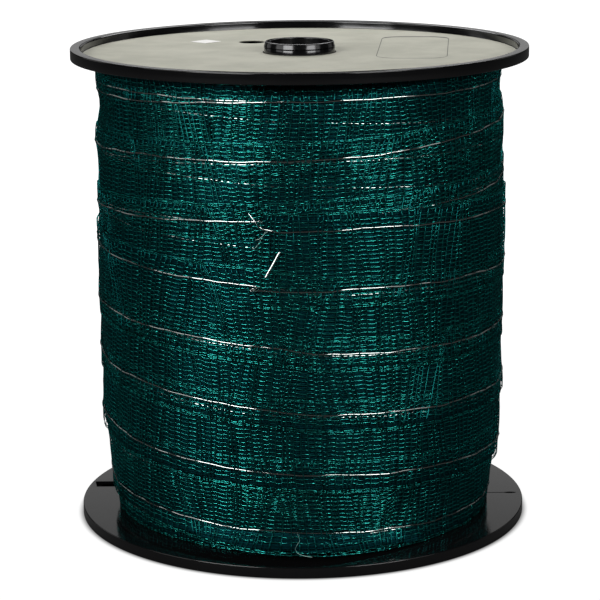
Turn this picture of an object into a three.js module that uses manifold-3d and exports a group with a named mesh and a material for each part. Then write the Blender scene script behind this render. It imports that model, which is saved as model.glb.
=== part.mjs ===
// A two-flange reel of netting tape: a green woven monofilament tape, 40 mm wide, with two bright steel
// wires running in it, wound in overlapping turns on a black moulded reel with a paper label on top.
// Millimetres, +Z up. The reel's axis is Z, and z = 0 is the plane of the bottom rim that it stands on.

import * as THREE from 'three';
import { mergeVertices } from 'three/addons/utils/BufferGeometryUtils.js';
import Module from 'manifold-3d';

const wasm = await Module();
wasm.setup();

// ---- Driving dimensions -------------------------------------------------------------------------------

// Flanges
const flangeRadius = 100;
const heightOverRims = 210.5;
const rimHeight = 4.8;
const rimWall = 4.5;
const rimRound = 1.6;
const rimInnerRound = 0.8;
const webThickness = 1.2;
const webRootRound = 0.5;
const flangeSegments = 48;

// Spigots and ribs inside the barrel
const spigotHeight = 8;
const spigotWall = 1.8;
const sleeveHeight = 12;
const sleeveWall = 3;
const ribCount = 6;
const ribThickness = 1.8;
const ribHeight = 6.5;
const ribFirstAngle = 30;

// Barrel, the tube that the tape is wound on
const barrelRadius = 56;
const barrelWall = 2;

// Arbor tube with its lip above the top boss, and the ring that locks its lower end
const boreRadius = 12.7;
const arborWall = 1.5;
const bossRadius = 15.6;
const bossTopBelowRim = 1;
const arborLipHeight = 2.2;
const arborLipRound = 0.7;
const boreChamfer = 0.4;
const lockRingWidth = 4.5;
const lockRingThickness = 1.6;
const lockRingChamfer = 0.4;
const hubSegments = 40;

// Holes, slot and slit in the flanges
const driveHoleRadius = 5.5;
const driveHoleX = -21.5;
const driveHoleY = 38.2;
const slotFromBarrel = 6;
const slotNearY = 12.2;
const slotWidth = 8;
const slotNearFromEdge = 4.6;
const slotFarFromEdge = 3.4;
const slitY = -1;
const slitWidth = 0.8;
const slitFromEdge = 2.6;
const slitEyeWidth = 2.2;
const slitEyeLength = 5.6;

// Paper label and the small square stuck on it
const labelRimGap = 0.5;
const labelThickness = 0.2;
const labelHoleMargin = 0.5;
const stickerSide = 9.6;
const stickerThickness = 0.15;
const stickerX = -42.6;
const stickerY = 40;

// Tape and its wires
const tapeWidth = 40;
const tapeThickness = 0.65;
const wireSpacing = 25;
const wireDiameter = 0.4;
const wireProud = 0.22;
const grooveDepth = 0.48;
const grooveWidth = 1.3;

// Outer layer: it lies flat along the bottom flange, then climbs, and its cut end droops in front
const turnSteps = 24;
const tapeEndAngle = -100.5;
const outerFaceFromEdge = 9.4;
const outerPitch = 26.5;
const outerSteps = 123;
const outerStartStep = -27;
const outerClimbStart = 40;
const outerEndDroop = 1.3;

// Layer under it: it lies flat along the top flange, then comes down, and ends tucked under the outer layer
const underFaceFromOuter = 1.1;
const underPitch = 24.6;
const underTuck = 45;
const underStartStep = -24;
const underFallStart = 93;

// How the turns lie: sagging in front, drawn in at the foot but flared out over the flange in front
const frontSag = 2;
const sagSpread = 90;
const footDraw = 5.5;
const footFlare = 7;
const footFlareSpread = 30;

// The outer layer's last turn leans out over the layer under it, whose hidden end is drawn in below
const lastTurnLean = 1.85;
const endSpread = 60;
const underEndDraw = 2.4;
const underEndSpread = 180;

// Cut ends of the wires
const upperEndRun = 7.5;
const upperEndRise = 5.6;
const lowerEndTurn = 1.6;
const lowerEndRise = 14.5;
const lowerEndSlant = 7.2;

// Clearances
const seatGap = 0.3;
const slideGap = 0.3;
const paperGap = 0.1;
const wrapGap = 0.5;
const coreGap = 0.35;

// ---- Derived places ---------------------------------------------------------------------------------

const rimInnerRadius = flangeRadius - rimWall;
const webOuterFace = rimHeight - webThickness;
const boreInFlange = boreRadius + arborWall + slideGap;
const sleeveRadius = boreInFlange + sleeveWall;
const spigotRadius = barrelRadius - barrelWall - slideGap;
const topWebInner = heightOverRims - rimHeight;
const labelTop = heightOverRims - webOuterFace + paperGap + labelThickness;
const bossTop = heightOverRims - bossTopBelowRim;
const arborTop = bossTop + seatGap + arborLipHeight;
const arborBottom = webOuterFace - seatGap - lockRingThickness;
const stepAngle = 360 / turnSteps;
const windingBottom = rimHeight + seatGap;
const windingTop = topWebInner - seatGap;
const wireMargin = (tapeWidth - wireSpacing) / 2;
const degree = Math.PI / 180;
const lockRingRadius = boreInFlange + lockRingWidth;
const labelRadius = rimInnerRadius - labelRimGap;
const slotInnerEnd = barrelRadius + slotFromBarrel;
const slotFarY = slotNearY + slotWidth;
const slitOuterEnd = flangeRadius - slitFromEdge;
const outerFaceRadius = flangeRadius - outerFaceFromEdge;
const underFaceRadius = outerFaceRadius - underFaceFromOuter;

// Angle wound at which the under layer's upper edge goes below that of the outer layer's last turn, which
// is one turn further at the same azimuth. The under layer ends a little past that, tucked away.
const pitchSum = underPitch + outerPitch;
const bothWound = underPitch * underFallStart + outerPitch * (outerClimbStart - 360);
const layersCross = (360 * (windingTop - windingBottom - tapeWidth) + bothWound) / pitchSum;
const underSteps = Math.round((layersCross + underTuck + tapeEndAngle) / stepAngle) - underStartStep;

// ---- Making solids --------------------------------------------------------------------------------------

// Points of an arc in a profile, from one angle to another in degrees.
function arc(centreR, centreZ, radius, from, to, steps = 4) {
  const points = [];
  for (let i = 0; i <= steps; i += 1) {
    const angle = (from + ((to - from) * i) / steps) * degree;
    points.push([centreR + radius * Math.cos(angle), centreZ + radius * Math.sin(angle)]);
  }
  return points;
}

// A closed profile of [radius, z] points, counter-clockwise, turned about Z.
function revolve(profile, segments, startAngle = 0) {
  const closed = [...profile, profile[0]];
  const points = closed.map(([radius, z]) => new THREE.Vector2(radius, z));
  const geometry = new THREE.LatheGeometry(points, segments);
  return geometry.rotateX(Math.PI / 2).rotateZ(startAngle * degree);
}

// A flat shape in the XY plane, extruded upwards from z.
function plate(shape, z, thickness, curveSegments = 8) {
  const geometry = new THREE.ExtrudeGeometry(shape, { depth: thickness, bevelEnabled: false, curveSegments });
  return geometry.translate(0, 0, z);
}

function circleShape(radius, x = 0, y = 0) {
  const shape = new THREE.Shape();
  shape.absarc(x, y, radius, 0, 2 * Math.PI, false);
  return shape;
}

// Merged positions only, as a solid for joining and cutting.
function toSolid(geometry) {
  const bare = geometry.clone();
  bare.deleteAttribute('normal');
  bare.deleteAttribute('uv');
  const merged = mergeVertices(bare, 1e-4);
  const vertProperties = new Float32Array(merged.attributes.position.array);
  const triVerts = new Uint32Array(merged.index.array);
  return new wasm.Manifold(new wasm.Mesh({ numProp: 3, vertProperties, triVerts }));
}

function fromSolid(solid) {
  const { vertProperties, triVerts } = solid.getMesh();
  const geometry = new THREE.BufferGeometry();
  geometry.setAttribute('position', new THREE.BufferAttribute(vertProperties, 3));
  geometry.setIndex(new THREE.BufferAttribute(triVerts, 1));
  geometry.computeVertexNormals();
  return geometry;
}

// One unbroken tube: rings of equally many points, joined side to side and closed by a cap at each end.
function loft(rings, cap) {
  const sides = rings[0].length;
  const last = (rings.length - 1) * sides;
  const positions = rings.flat().flatMap((point) => [point.x, point.y, point.z]);
  const index = [];
  for (let ring = 0; ring < rings.length - 1; ring += 1) {
    for (let side = 0; side < sides; side += 1) {
      const a = ring * sides + side;
      const b = ring * sides + ((side + 1) % sides);
      index.push(a, b, a + sides, b, b + sides, a + sides);
    }
  }
  for (const [a, b, c] of cap) {
    index.push(a, c, b, last + a, last + b, last + c);
  }
  const geometry = new THREE.BufferGeometry();
  geometry.setAttribute('position', new THREE.Float32BufferAttribute(positions, 3));
  geometry.setIndex(index);
  geometry.computeVertexNormals();
  return geometry;
}

function smooth(value) {
  const t = Math.min(Math.max(value, 0), 1);
  return t * t * (3 - 2 * t);
}

// ---- Flanges ----------------------------------------------------------------------------------------------

// The moulded section: rim towards z = 0, thin web, sleeve round the arbor tube and spigot in the barrel.
function flangeProfile(bossEnd) {
  const webTop = rimHeight;
  const hubFace = bossEnd < webOuterFace
    ? [[boreInFlange, bossEnd], [bossRadius, bossEnd], [bossRadius, webOuterFace]]
    : [[boreInFlange, webOuterFace]];
  return [
    ...hubFace,
    ...arc(rimInnerRadius - webRootRound, webOuterFace - webRootRound, webRootRound, 90, 0, 3),
    ...arc(rimInnerRadius + rimInnerRound, rimInnerRound, rimInnerRound, 180, 270, 3),
    ...arc(flangeRadius - rimRound, rimRound, rimRound, -90, 0),
    ...arc(flangeRadius - rimRound, webTop - rimRound, rimRound, 0, 90),
    [spigotRadius, webTop],
    [spigotRadius, webTop + spigotHeight - spigotWall / 2],
    [spigotRadius - spigotWall / 2, webTop + spigotHeight],
    [spigotRadius - spigotWall, webTop + spigotHeight],
    [spigotRadius - spigotWall, webTop],
    [sleeveRadius, webTop],
    [sleeveRadius, webTop + sleeveHeight],
    [boreInFlange, webTop + sleeveHeight],
  ];
}

// A rib that runs from the sleeve to the spigot, dished along its top edge.
function rib(angle) {
  const inner = boreInFlange + sleeveWall / 2;
  const outer = spigotRadius - spigotWall / 2;
  const foot = rimHeight - webThickness / 2;
  const top = rimHeight + ribHeight;
  const shape = new THREE.Shape();
  shape.moveTo(inner, foot);
  shape.lineTo(outer, foot);
  shape.lineTo(outer, top);
  shape.quadraticCurveTo((inner + outer) / 2, top - ribHeight / 2, inner, top + sleeveHeight / 4);
  const geometry = new THREE.ExtrudeGeometry(shape, { depth: ribThickness, bevelEnabled: false, curveSegments: 6 });
  geometry.translate(0, 0, -ribThickness / 2);
  return geometry.rotateX(Math.PI / 2).rotateZ(angle * degree);
}

function flangeBody(bossEnd) {
  let body = toSolid(revolve(flangeProfile(bossEnd), flangeSegments));
  for (let i = 0; i < ribCount; i += 1) {
    body = body.add(toSolid(rib(ribFirstAngle + (360 / ribCount) * i)));
  }
  return body;
}

// The wide slot has a slanted outer end.
function slotShape() {
  const shape = new THREE.Shape();
  shape.moveTo(-slotInnerEnd, slotNearY);
  shape.lineTo(-slotInnerEnd, slotFarY);
  shape.lineTo(slotFarFromEdge - flangeRadius, slotFarY);
  shape.lineTo(slotNearFromEdge - flangeRadius, slotNearY);
  return shape;
}

// The narrow slit has a wider eye near the rim.
function slitShape() {
  const half = slitWidth / 2;
  const bulge = slitEyeWidth - half;
  const eyeStart = slitOuterEnd - slitEyeLength;
  const eyeMiddle = slitOuterEnd - slitEyeLength / 2;
  const shape = new THREE.Shape();
  shape.moveTo(slotInnerEnd, slitY - half);
  shape.lineTo(eyeStart, slitY - half);
  shape.quadraticCurveTo(eyeMiddle, slitY - bulge, slitOuterEnd, slitY - half);
  shape.lineTo(slitOuterEnd, slitY + half);
  shape.quadraticCurveTo(eyeMiddle, slitY + bulge, eyeStart, slitY + half);
  shape.lineTo(slotInnerEnd, slitY + half);
  return shape;
}

// Cuts run through the web only, so that past it the rim stays whole underneath.
function throughWeb(shape) {
  return toSolid(plate(shape, webOuterFace - seatGap, webThickness + 2 * seatGap));
}

function bottomFlange() {
  const driveHole = throughWeb(circleShape(driveHoleRadius, driveHoleX, driveHoleY));
  const body = flangeBody(webOuterFace);
  return fromSolid(body.subtract(driveHole).subtract(throughWeb(slotShape())).subtract(throughWeb(slitShape())));
}

function topFlange() {
  const driveHole = throughWeb(circleShape(driveHoleRadius, driveHoleX, -driveHoleY));
  const body = flangeBody(bossTopBelowRim).subtract(driveHole);
  return fromSolid(body).rotateX(Math.PI).translate(0, 0, heightOverRims);
}

// ---- Barrel, arbor tube and lock ring -------------------------------------------------------------------

function barrel() {
  const bottom = rimHeight + seatGap;
  const top = topWebInner - seatGap;
  const inner = barrelRadius - barrelWall;
  const profile = [[inner, bottom], [barrelRadius, bottom], [barrelRadius, top], [inner, top]];
  return revolve(profile, flangeSegments);
}

function arborTube() {
  const tubeRadius = boreRadius + arborWall;
  const lipBottom = bossTop + seatGap;
  const lipRoundR = bossRadius - arborLipRound;
  return revolve([
    [boreRadius, arborBottom + boreChamfer],
    [boreRadius + boreChamfer, arborBottom],
    [tubeRadius - boreChamfer, arborBottom],
    [tubeRadius, arborBottom + boreChamfer],
    [tubeRadius, lipBottom],
    [bossRadius, lipBottom],
    ...arc(lipRoundR, arborTop - arborLipRound, arborLipRound, 0, 90, 3),
    [boreRadius + boreChamfer, arborTop],
    [boreRadius, arborTop - boreChamfer],
  ], hubSegments);
}

function arborLockRing() {
  const inner = boreRadius + arborWall + slideGap;
  const top = webOuterFace - seatGap;
  return revolve([
    [inner, arborBottom],
    [lockRingRadius - lockRingChamfer, arborBottom],
    [lockRingRadius, arborBottom + lockRingChamfer],
    [lockRingRadius, top],
    [inner, top],
  ], hubSegments);
}

// ---- Paper ------------------------------------------------------------------------------------------------

function topLabel() {
  const shape = circleShape(labelRadius);
  shape.holes.push(circleShape(bossRadius + labelHoleMargin));
  shape.holes.push(circleShape(driveHoleRadius + labelHoleMargin, driveHoleX, driveHoleY));
  return plate(shape, labelTop - labelThickness, labelThickness, 24);
}

function labelSticker() {
  const halfDiagonal = stickerSide / Math.SQRT2;
  const shape = new THREE.Shape();
  shape.moveTo(stickerX + halfDiagonal, stickerY);
  shape.lineTo(stickerX, stickerY + halfDiagonal);
  shape.lineTo(stickerX - halfDiagonal, stickerY);
  shape.lineTo(stickerX, stickerY - halfDiagonal);
  return plate(shape, labelTop + paperGap, stickerThickness);
}

// ---- Windings -----------------------------------------------------------------------------------------------

// The angle wound, in degrees, runs clockwise seen from above: the azimuth is its negative.
// Each layer's covered heights are taken from an even helix, so turns laid one over the other keep apart.
const outerLayer = {
  faceRadius: outerFaceRadius,
  pitch: outerPitch,
  startStep: outerStartStep,
  steps: outerSteps,
  evenEdge: (wound) => windingBottom + (outerPitch * (wound - outerClimbStart)) / 360,
  lowerEdge(wound) {
    const even = this.evenEdge(wound) + sag(wound) * smooth((wound - outerClimbStart) / sagSpread);
    const droop = outerEndDroop * smooth(1 - leftToEnd(wound) / (endSpread / 2));
    return Math.max(windingBottom, even - droop);
  },
  covered(across, wound) {
    return this.lowerEdge(wound) + across - this.evenEdge(wound);
  },
  offset(across, wound) {
    const left = leftToEnd(wound);
    const lean = lastTurnLean * smooth(1 - (left - 360) / endSpread);
    const overLean = lastTurnLean * (outerPitch / tapeWidth) * smooth(1 - left / endSpread);
    const fromFront = ((wound - 90) / footFlareSpread) ** 2;
    const flare = footFlare * Math.exp(-fromFront) * Math.max(0, 1 - across / wireMargin);
    const foot = footIn(wound) * (1 - across / tapeWidth) + footShift(wound);
    return (lean * across) / tapeWidth + overLean + flare - foot;
  },
};

const underLayer = {
  faceRadius: underFaceRadius,
  pitch: underPitch,
  startStep: underStartStep,
  steps: underSteps,
  evenEdge: (wound) => windingTop - (underPitch * (wound - underFallStart)) / 360,
  lowerEdge(wound) {
    const even = this.evenEdge(wound) + sag(wound) * smooth((wound - underFallStart) / sagSpread);
    return Math.min(windingTop, even) - tapeWidth;
  },
  covered(across, wound) {
    return this.evenEdge(wound) - this.lowerEdge(wound) - across;
  },
  offset(across, wound) {
    return -underDrawn(wound) * (1 - across / tapeWidth);
  },
};

// The lower edge of the lowest turns is drawn in, less and less as they climb.
function footIn(wound) {
  const climbed = Math.max(0, outerLayer.evenEdge(wound) - windingBottom);
  return footDraw * Math.max(0, 1 - climbed / tapeWidth);
}

// A turn under a drawn-in one moves in as a whole, as far as the next turn needs at its overlap.
function footShift(wound) {
  const next = wound + 360;
  if (footIn(next) === 0) return 0;
  const climb = outerLayer.lowerEdge(next) - outerLayer.lowerEdge(wound);
  return footShift(next) + footIn(next) * (climb / tapeWidth);
}

// The lower edge near the hidden end is drawn in, and those of the turns under it by their overlap's share.
function underDrawn(wound) {
  const left = woundAt(underLayer, underSteps) - wound;
  if (left < -endSpread) return 0;
  const end = left < 0 ? smooth(1 + left / endSpread) : smooth(1 - left / underEndSpread);
  return underEndDraw * end + (1 - underPitch / tapeWidth) * underDrawn(wound + 360);
}

// Steps are counted from the azimuth of the cut end, so that the facets of all the turns line up.
function woundAt(layer, step) {
  return -tapeEndAngle + (layer.startStep + step) * stepAngle;
}

function leftToEnd(wound) {
  return woundAt(outerLayer, outerSteps) - wound;
}

// The front of every turn sags a little between its two sides.
function sag(wound) {
  return -frontSag * Math.sin(wound * degree) ** 2;
}

// A point of a layer: across is measured up from the tape's lower edge, inward from its outer face.
function windingPoint(layer, wound, across, inward) {
  const z = layer.lowerEdge(wound) + across;
  const taper = ((tapeThickness + wrapGap) / layer.pitch) * layer.covered(across, wound);
  const radius = layer.faceRadius - taper + layer.offset(across, wound) - inward;
  const angle = -wound * degree;
  return new THREE.Vector3(radius * Math.cos(angle), radius * Math.sin(angle), z);
}

// The tape's section as [across, inward] points, with a V-shaped groove in its outer face for each wire.
function tapeSection() {
  const half = grooveWidth / 2;
  const outerFace = [wireMargin, tapeWidth - wireMargin].flatMap((wire) => [
    [wire - half, 0],
    [wire, grooveDepth],
    [wire + half, 0],
  ]);
  const innerFace = [tapeWidth, tapeWidth - wireMargin, wireMargin, 0].map((across) => (
    [across, tapeThickness]
  ));
  return [[0, 0], ...outerFace, [tapeWidth, 0], ...innerFace];
}

// The cap is worked out on the section slightly bowed, so that no three of its points are in line.
function sectionCap(section) {
  const bowed = section.map(([across, inward]) => (
    new THREE.Vector2(across, inward + ((across - tapeWidth / 2) / tapeWidth) ** 2 * wireProud)
  ));
  return THREE.ShapeUtils.triangulateShape(bowed, []);
}

function tape(layer) {
  const section = tapeSection();
  const rings = [];
  for (let step = 0; step <= layer.steps; step += 1) {
    const wound = woundAt(layer, step);
    rings.push(section.map(([across, inward]) => windingPoint(layer, wound, across, inward)));
  }
  return loft(rings, sectionCap(section));
}

// A square wire section round a point, turned so that one diagonal points away from the reel's axis.
function wireRing(centre, direction) {
  const outward = new THREE.Vector3(centre.x, centre.y, 0).normalize();
  const side = new THREE.Vector3().crossVectors(direction, outward).normalize();
  const up = new THREE.Vector3().crossVectors(side, direction).normalize();
  return [[side, 1], [up, -1], [side, -1], [up, 1]].map(([axis, sign]) => (
    centre.clone().addScaledVector(axis, (sign * wireDiameter) / 2)
  ));
}

function wireAlong(centres) {
  const rings = centres.map((centre, i) => {
    const before = centres[Math.max(i - 1, 0)];
    const after = centres[Math.min(i + 1, centres.length - 1)];
    return wireRing(centre, after.clone().sub(before).normalize());
  });
  return loft(rings, [[0, 1, 2], [0, 2, 3]]);
}

function wireCentres(layer, across) {
  const centres = [];
  for (let step = 0; step <= layer.steps; step += 1) {
    centres.push(windingPoint(layer, woundAt(layer, step), across, wireDiameter / 2 - wireProud));
  }
  return centres;
}

// Past the tape's cut end: a point by its run onward round the reel, its rise, and its height over the tape.
function pastEnd(across, run, rise, over) {
  const wound = woundAt(outerLayer, outerSteps);
  const point = windingPoint(outerLayer, wound, across, -over);
  const radius = Math.hypot(point.x, point.y);
  const angle = -wound * degree - run / radius;
  return new THREE.Vector3(radius * Math.cos(angle), radius * Math.sin(angle), point.z + rise);
}

// The upper wire's cut end springs up and away from the end of the tape.
function outerUpperWire() {
  const across = tapeWidth - wireMargin;
  const end = [
    pastEnd(across, upperEndRun * 0.3, upperEndRise * 0.12, wireProud),
    pastEnd(across, upperEndRun * 0.65, upperEndRise * 0.5, 2 * wireProud),
    pastEnd(across, upperEndRun, upperEndRise, 3 * wireProud),
  ];
  return wireAlong([...wireCentres(outerLayer, across), ...end]);
}

// The lower wire's cut end is bent back over the tape and stands up across it.
function outerLowerWire() {
  const over = wireDiameter + seatGap;
  const end = [
    pastEnd(wireMargin, lowerEndTurn, 0, wireProud),
    pastEnd(wireMargin, lowerEndTurn * 1.3, lowerEndTurn, over),
    pastEnd(wireMargin, lowerEndTurn * 0.4, lowerEndTurn * 2, over * 1.4),
    pastEnd(wireMargin, -lowerEndSlant * 0.3, lowerEndRise * 0.5, over * 2),
    pastEnd(wireMargin, -lowerEndSlant, lowerEndRise, over * 3),
  ];
  return wireAlong([...wireCentres(outerLayer, wireMargin), ...end]);
}

// Points of one turn's inner or outer face in the plane of its azimuth, as [radius, z].
function facePoints(layer, wound, inward) {
  const points = [];
  const corners = tapeSection().filter((corner) => corner[1] === inward).map((corner) => corner[0]);
  corners.sort((a, b) => a - b);
  for (let i = 1; i < corners.length; i += 1) {
    const ends = [corners[i - 1], corners[i]].map((across) => {
      const point = windingPoint(layer, wound, across, inward);
      return [Math.hypot(point.x, point.y), point.z];
    });
    const parts = Math.ceil((corners[i] - corners[i - 1]) * 2);
    for (let part = 0; part <= parts; part += 1) {
      points.push([0, 1].map((axis) => ends[0][axis] + ((ends[1][axis] - ends[0][axis]) * part) / parts));
    }
  }
  return points;
}

// Everything wound under the two outer layers, as one plain drum that stays clear of their inner faces.
function innerWinding() {
  const inner = (barrelRadius + slideGap) / Math.cos((stepAngle / 2) * degree) + slideGap;
  const faces = [outerLayer, underLayer].flatMap((layer) => {
    const turns = Array.from({ length: layer.steps + 1 }, (_, step) => woundAt(layer, step));
    return turns.flatMap((wound) => facePoints(layer, wound, tapeThickness));
  });
  const profile = [];
  const levels = 18;
  const rise = (windingTop - windingBottom) / levels;
  for (let level = 0; level <= levels; level += 1) {
    const z = windingBottom + level * rise;
    const near = faces.filter((point) => Math.abs(point[1] - z) <= rise);
    profile.push([Math.min(...near.map((point) => point[0])) - coreGap, z]);
  }
  return revolve([[inner, windingBottom], ...profile, [inner, windingTop]], turnSteps, tapeEndAngle);
}

// ---- Least gaps of the windings ---------------------------------------------------------------------------------

// Least distance of the outer faces of one layer from the inner faces of the turns laid over them.
function leastGap(under, over) {
  let least = Infinity;
  for (let step = 0; step <= under.steps; step += 1) {
    const wound = woundAt(under, step);
    const outerFace = facePoints(under, wound, 0);
    for (let other = 0; other <= over.steps; other += 1) {
      const turns = (woundAt(over, other) - wound) / 360;
      const laidOver = under === over ? turns === 1 : Number.isInteger(turns);
      if (!laidOver) continue;
      for (const [radius, z] of facePoints(over, woundAt(over, other), tapeThickness)) {
        for (const point of outerFace) {
          if (Math.abs(point[1] - z) > 1) continue;
          const sign = Math.sign(radius - point[0]);
          least = Math.min(least, sign * Math.hypot(radius - point[0], z - point[1]));
        }
      }
    }
  }
  return (least * Math.cos((stepAngle / 2) * degree)).toFixed(2);
}

console.log(`least gap of the outer layer to itself: ${leastGap(outerLayer, outerLayer)} mm`);
console.log(`least gap of the layer under it to itself: ${leastGap(underLayer, underLayer)} mm`);
console.log(`least gap between the two layers: ${leastGap(underLayer, outerLayer)} mm`);

// ---- Materials ----------------------------------------------------------------------------------------------

const blackPlastic = { color: 0x17181a, roughness: 0.25, metalness: 0 };
const hiddenPlastic = { color: 0x202124, roughness: 0.4, metalness: 0 };
const labelPaper = { color: 0xbdbcb0, roughness: 0.8, metalness: 0 };
const whitePaper = { color: 0xece9e2, roughness: 0.7, metalness: 0 };
const greenNetting = { color: 0x0f5a50, roughness: 0.55, metalness: 0 };
const darkNetting = { color: 0x08322f, roughness: 0.7, metalness: 0 };
const brightSteel = { color: 0xc9c6c0, roughness: 0.2, metalness: 1 };

// ---- Assembly -------------------------------------------------------------------------------------------------

const spool = new THREE.Group();

function piece(name, geometry, finish) {
  const mesh = new THREE.Mesh(geometry, new THREE.MeshStandardMaterial(finish));
  mesh.name = name;
  spool.add(mesh);
}

piece('bottom_flange', bottomFlange(), blackPlastic);
piece('top_flange', topFlange(), blackPlastic);
piece('barrel', barrel(), hiddenPlastic);
piece('arbor_tube', arborTube(), blackPlastic);
piece('arbor_lock_ring', arborLockRing(), blackPlastic);
piece('top_label', topLabel(), labelPaper);
piece('label_sticker', labelSticker(), whitePaper);
piece('inner_winding', innerWinding(), darkNetting);
piece('under_tape', tape(underLayer), greenNetting);
piece('under_upper_wire', wireAlong(wireCentres(underLayer, tapeWidth - wireMargin)), brightSteel);
piece('under_lower_wire', wireAlong(wireCentres(underLayer, wireMargin)), brightSteel);
piece('outer_tape', tape(outerLayer), greenNetting);
piece('outer_upper_wire', outerUpperWire(), brightSteel);
piece('outer_lower_wire', outerLowerWire(), brightSteel);

export default spool;
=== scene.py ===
import math

import bpy
import numpy as np
from mathutils import Matrix, Vector


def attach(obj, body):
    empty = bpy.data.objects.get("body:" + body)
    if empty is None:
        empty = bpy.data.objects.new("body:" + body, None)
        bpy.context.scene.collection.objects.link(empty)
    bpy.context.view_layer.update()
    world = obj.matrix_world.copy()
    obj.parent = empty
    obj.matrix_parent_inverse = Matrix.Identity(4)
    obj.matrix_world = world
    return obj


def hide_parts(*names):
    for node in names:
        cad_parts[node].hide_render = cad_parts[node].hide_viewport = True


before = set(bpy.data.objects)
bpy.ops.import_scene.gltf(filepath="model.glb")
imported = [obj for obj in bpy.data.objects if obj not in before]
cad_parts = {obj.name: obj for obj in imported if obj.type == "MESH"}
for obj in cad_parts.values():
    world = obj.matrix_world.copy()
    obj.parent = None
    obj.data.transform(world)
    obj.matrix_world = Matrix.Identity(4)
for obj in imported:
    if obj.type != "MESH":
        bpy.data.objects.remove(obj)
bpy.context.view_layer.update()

MM = 0.001

# ---- Camera --------------------------------------------------------------------------------------
# It stands in front of the reel at a little over its height and looks down on it, as the photograph does.

CAMERA_PLACE = (-0.000622, -0.98392, 0.32456)
CAMERA_DOWN = math.radians(13.0979)
CAMERA_ROLL = -0.0077
CAMERA_LENS = 135.08

forward = Vector((0, math.cos(CAMERA_DOWN), -math.sin(CAMERA_DOWN)))
level_up = Vector((0, math.sin(CAMERA_DOWN), math.cos(CAMERA_DOWN)))
level_right = Vector((1, 0, 0))
camera_right = level_right * math.cos(CAMERA_ROLL) + level_up * math.sin(CAMERA_ROLL)
camera_up = level_up * math.cos(CAMERA_ROLL) - level_right * math.sin(CAMERA_ROLL)
camera_data = bpy.data.cameras.new("camera")
camera_data.lens = CAMERA_LENS
camera_data.sensor_width = 36
camera_data.clip_end = 20
camera = bpy.data.objects.new("camera", camera_data)
axes = Matrix((camera_right, camera_up, -forward)).transposed()
camera.matrix_world = Matrix.Translation(CAMERA_PLACE) @ axes.to_4x4()
bpy.context.scene.collection.objects.link(camera)
bpy.context.scene.camera = camera

# ---- Bottom flange -------------------------------------------------------------------------------
# Injection moulding in glossy black plastic: a thin web with a rim, and inside the barrel a sleeve round the
# arbor, a spigot and six ribs. A wide slot and a narrow slit with an eye let the start of the tape through.

FLANGE_RADIUS = 100.0
RIM_HEIGHT = 4.8
RIM_WALL = 4.5
RIM_ROUND = 0.4
RIM_INNER_ROUND = 0.8
WEB_THICKNESS = 1.2
WEB_ROOT_ROUND = 0.5
HEIGHT_OVER_RIMS = 210.5
BORE_RADIUS = 12.7
ARBOR_RADIUS = 14.2
BOSS_RADIUS = 15.6
BOSS_ROUND = 0.4
BOSS_INSET = 0.45
BOSS_DRAFT = 0.02
SEAT = 0.3
SLEEVE_WALL = 3.0
SLEEVE_HEIGHT = 12.0
SPIGOT_RADIUS = 53.7
SPIGOT_WALL = 1.8
SPIGOT_HEIGHT = 8.0
RIB_THICKNESS = 1.8
RIB_HEIGHT = 6.5
RIB_ANGLES = range(30, 390, 60)
DRIVE_HOLE = (-21.5, 38.2, 5.5)
LATHE_STEPS = 192
SHARP_EDGE = math.radians(34)


def arc(centre_r, centre_z, radius, start, end, steps=6):
    """Points on a circle of the profile plane, from one angle to another in degrees."""
    angles = np.radians(np.linspace(start, end, steps + 1))
    return [(centre_r + radius * math.cos(a), centre_z + radius * math.sin(a)) for a in angles]


def turned(name, profile, steps=LATHE_STEPS):
    """A closed profile of (radius, z) points turned about Z: (r cos a, r sin a, z) on a grid of the
    angle a and the points. The profile may also be given once for each step of the turn."""
    points = np.array(profile, float) * MM
    count = points.shape[-2]
    radius, height = np.moveaxis(np.broadcast_to(points, (steps, count, 2)), -1, 0)
    angle = np.linspace(0, 2 * math.pi, steps, endpoint=False)[:, None]
    grid = np.stack([radius * np.cos(angle), radius * np.sin(angle), height], axis=-1)
    here = np.arange(steps * count).reshape(steps, count)
    on = np.roll(here, -1, axis=0)
    faces = np.stack([here, on, np.roll(on, -1, axis=1), np.roll(here, -1, axis=1)], axis=-1)
    return piece(name, grid.reshape(-1, 3), faces.reshape(-1, 4))


def piece(name, points, faces):
    """A mesh object from points and faces in metres, smooth except at sharp edges."""
    mesh = bpy.data.meshes.new(name)
    mesh.from_pydata(points.tolist(), [], faces.tolist())
    mesh.validate()
    mesh.shade_smooth()
    mesh.set_sharp_from_angle(angle=SHARP_EDGE)
    made = bpy.data.objects.new(name, mesh)
    bpy.context.scene.collection.objects.link(made)
    return made


def prism(name, outline, low, high):
    """A flat counter-clockwise outline in XY, raised from one height to another."""
    flat = np.array(outline, float)
    count = len(flat)
    points = np.concatenate([np.column_stack([flat, np.full(count, z)]) for z in (low, high)]) * MM
    side = np.arange(count)
    faces = [[i, (i + 1) % count, count + (i + 1) % count, count + i] for i in side]
    faces += [list(side[::-1]), list(side + count)]
    mesh = bpy.data.meshes.new(name)
    mesh.from_pydata(points.tolist(), [], [list(map(int, face)) for face in faces])
    made = bpy.data.objects.new(name, mesh)
    bpy.context.scene.collection.objects.link(made)
    return made


def combined(base, others, operation):
    """Adds the other solids to the base or cuts them from it, and removes them."""
    for other in others:
        step = base.modifiers.new("step", "BOOLEAN")
        step.operation = operation
        step.solver = "EXACT"
        step.object = other
    bpy.context.view_layer.update()
    shaped = bpy.data.meshes.new_from_object(base.evaluated_get(bpy.context.evaluated_depsgraph_get()))
    base.modifiers.clear()
    base.data = shaped
    for other in others:
        bpy.data.objects.remove(other)
    shaped.shade_smooth()
    shaped.set_sharp_from_angle(angle=SHARP_EDGE)
    return base


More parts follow.
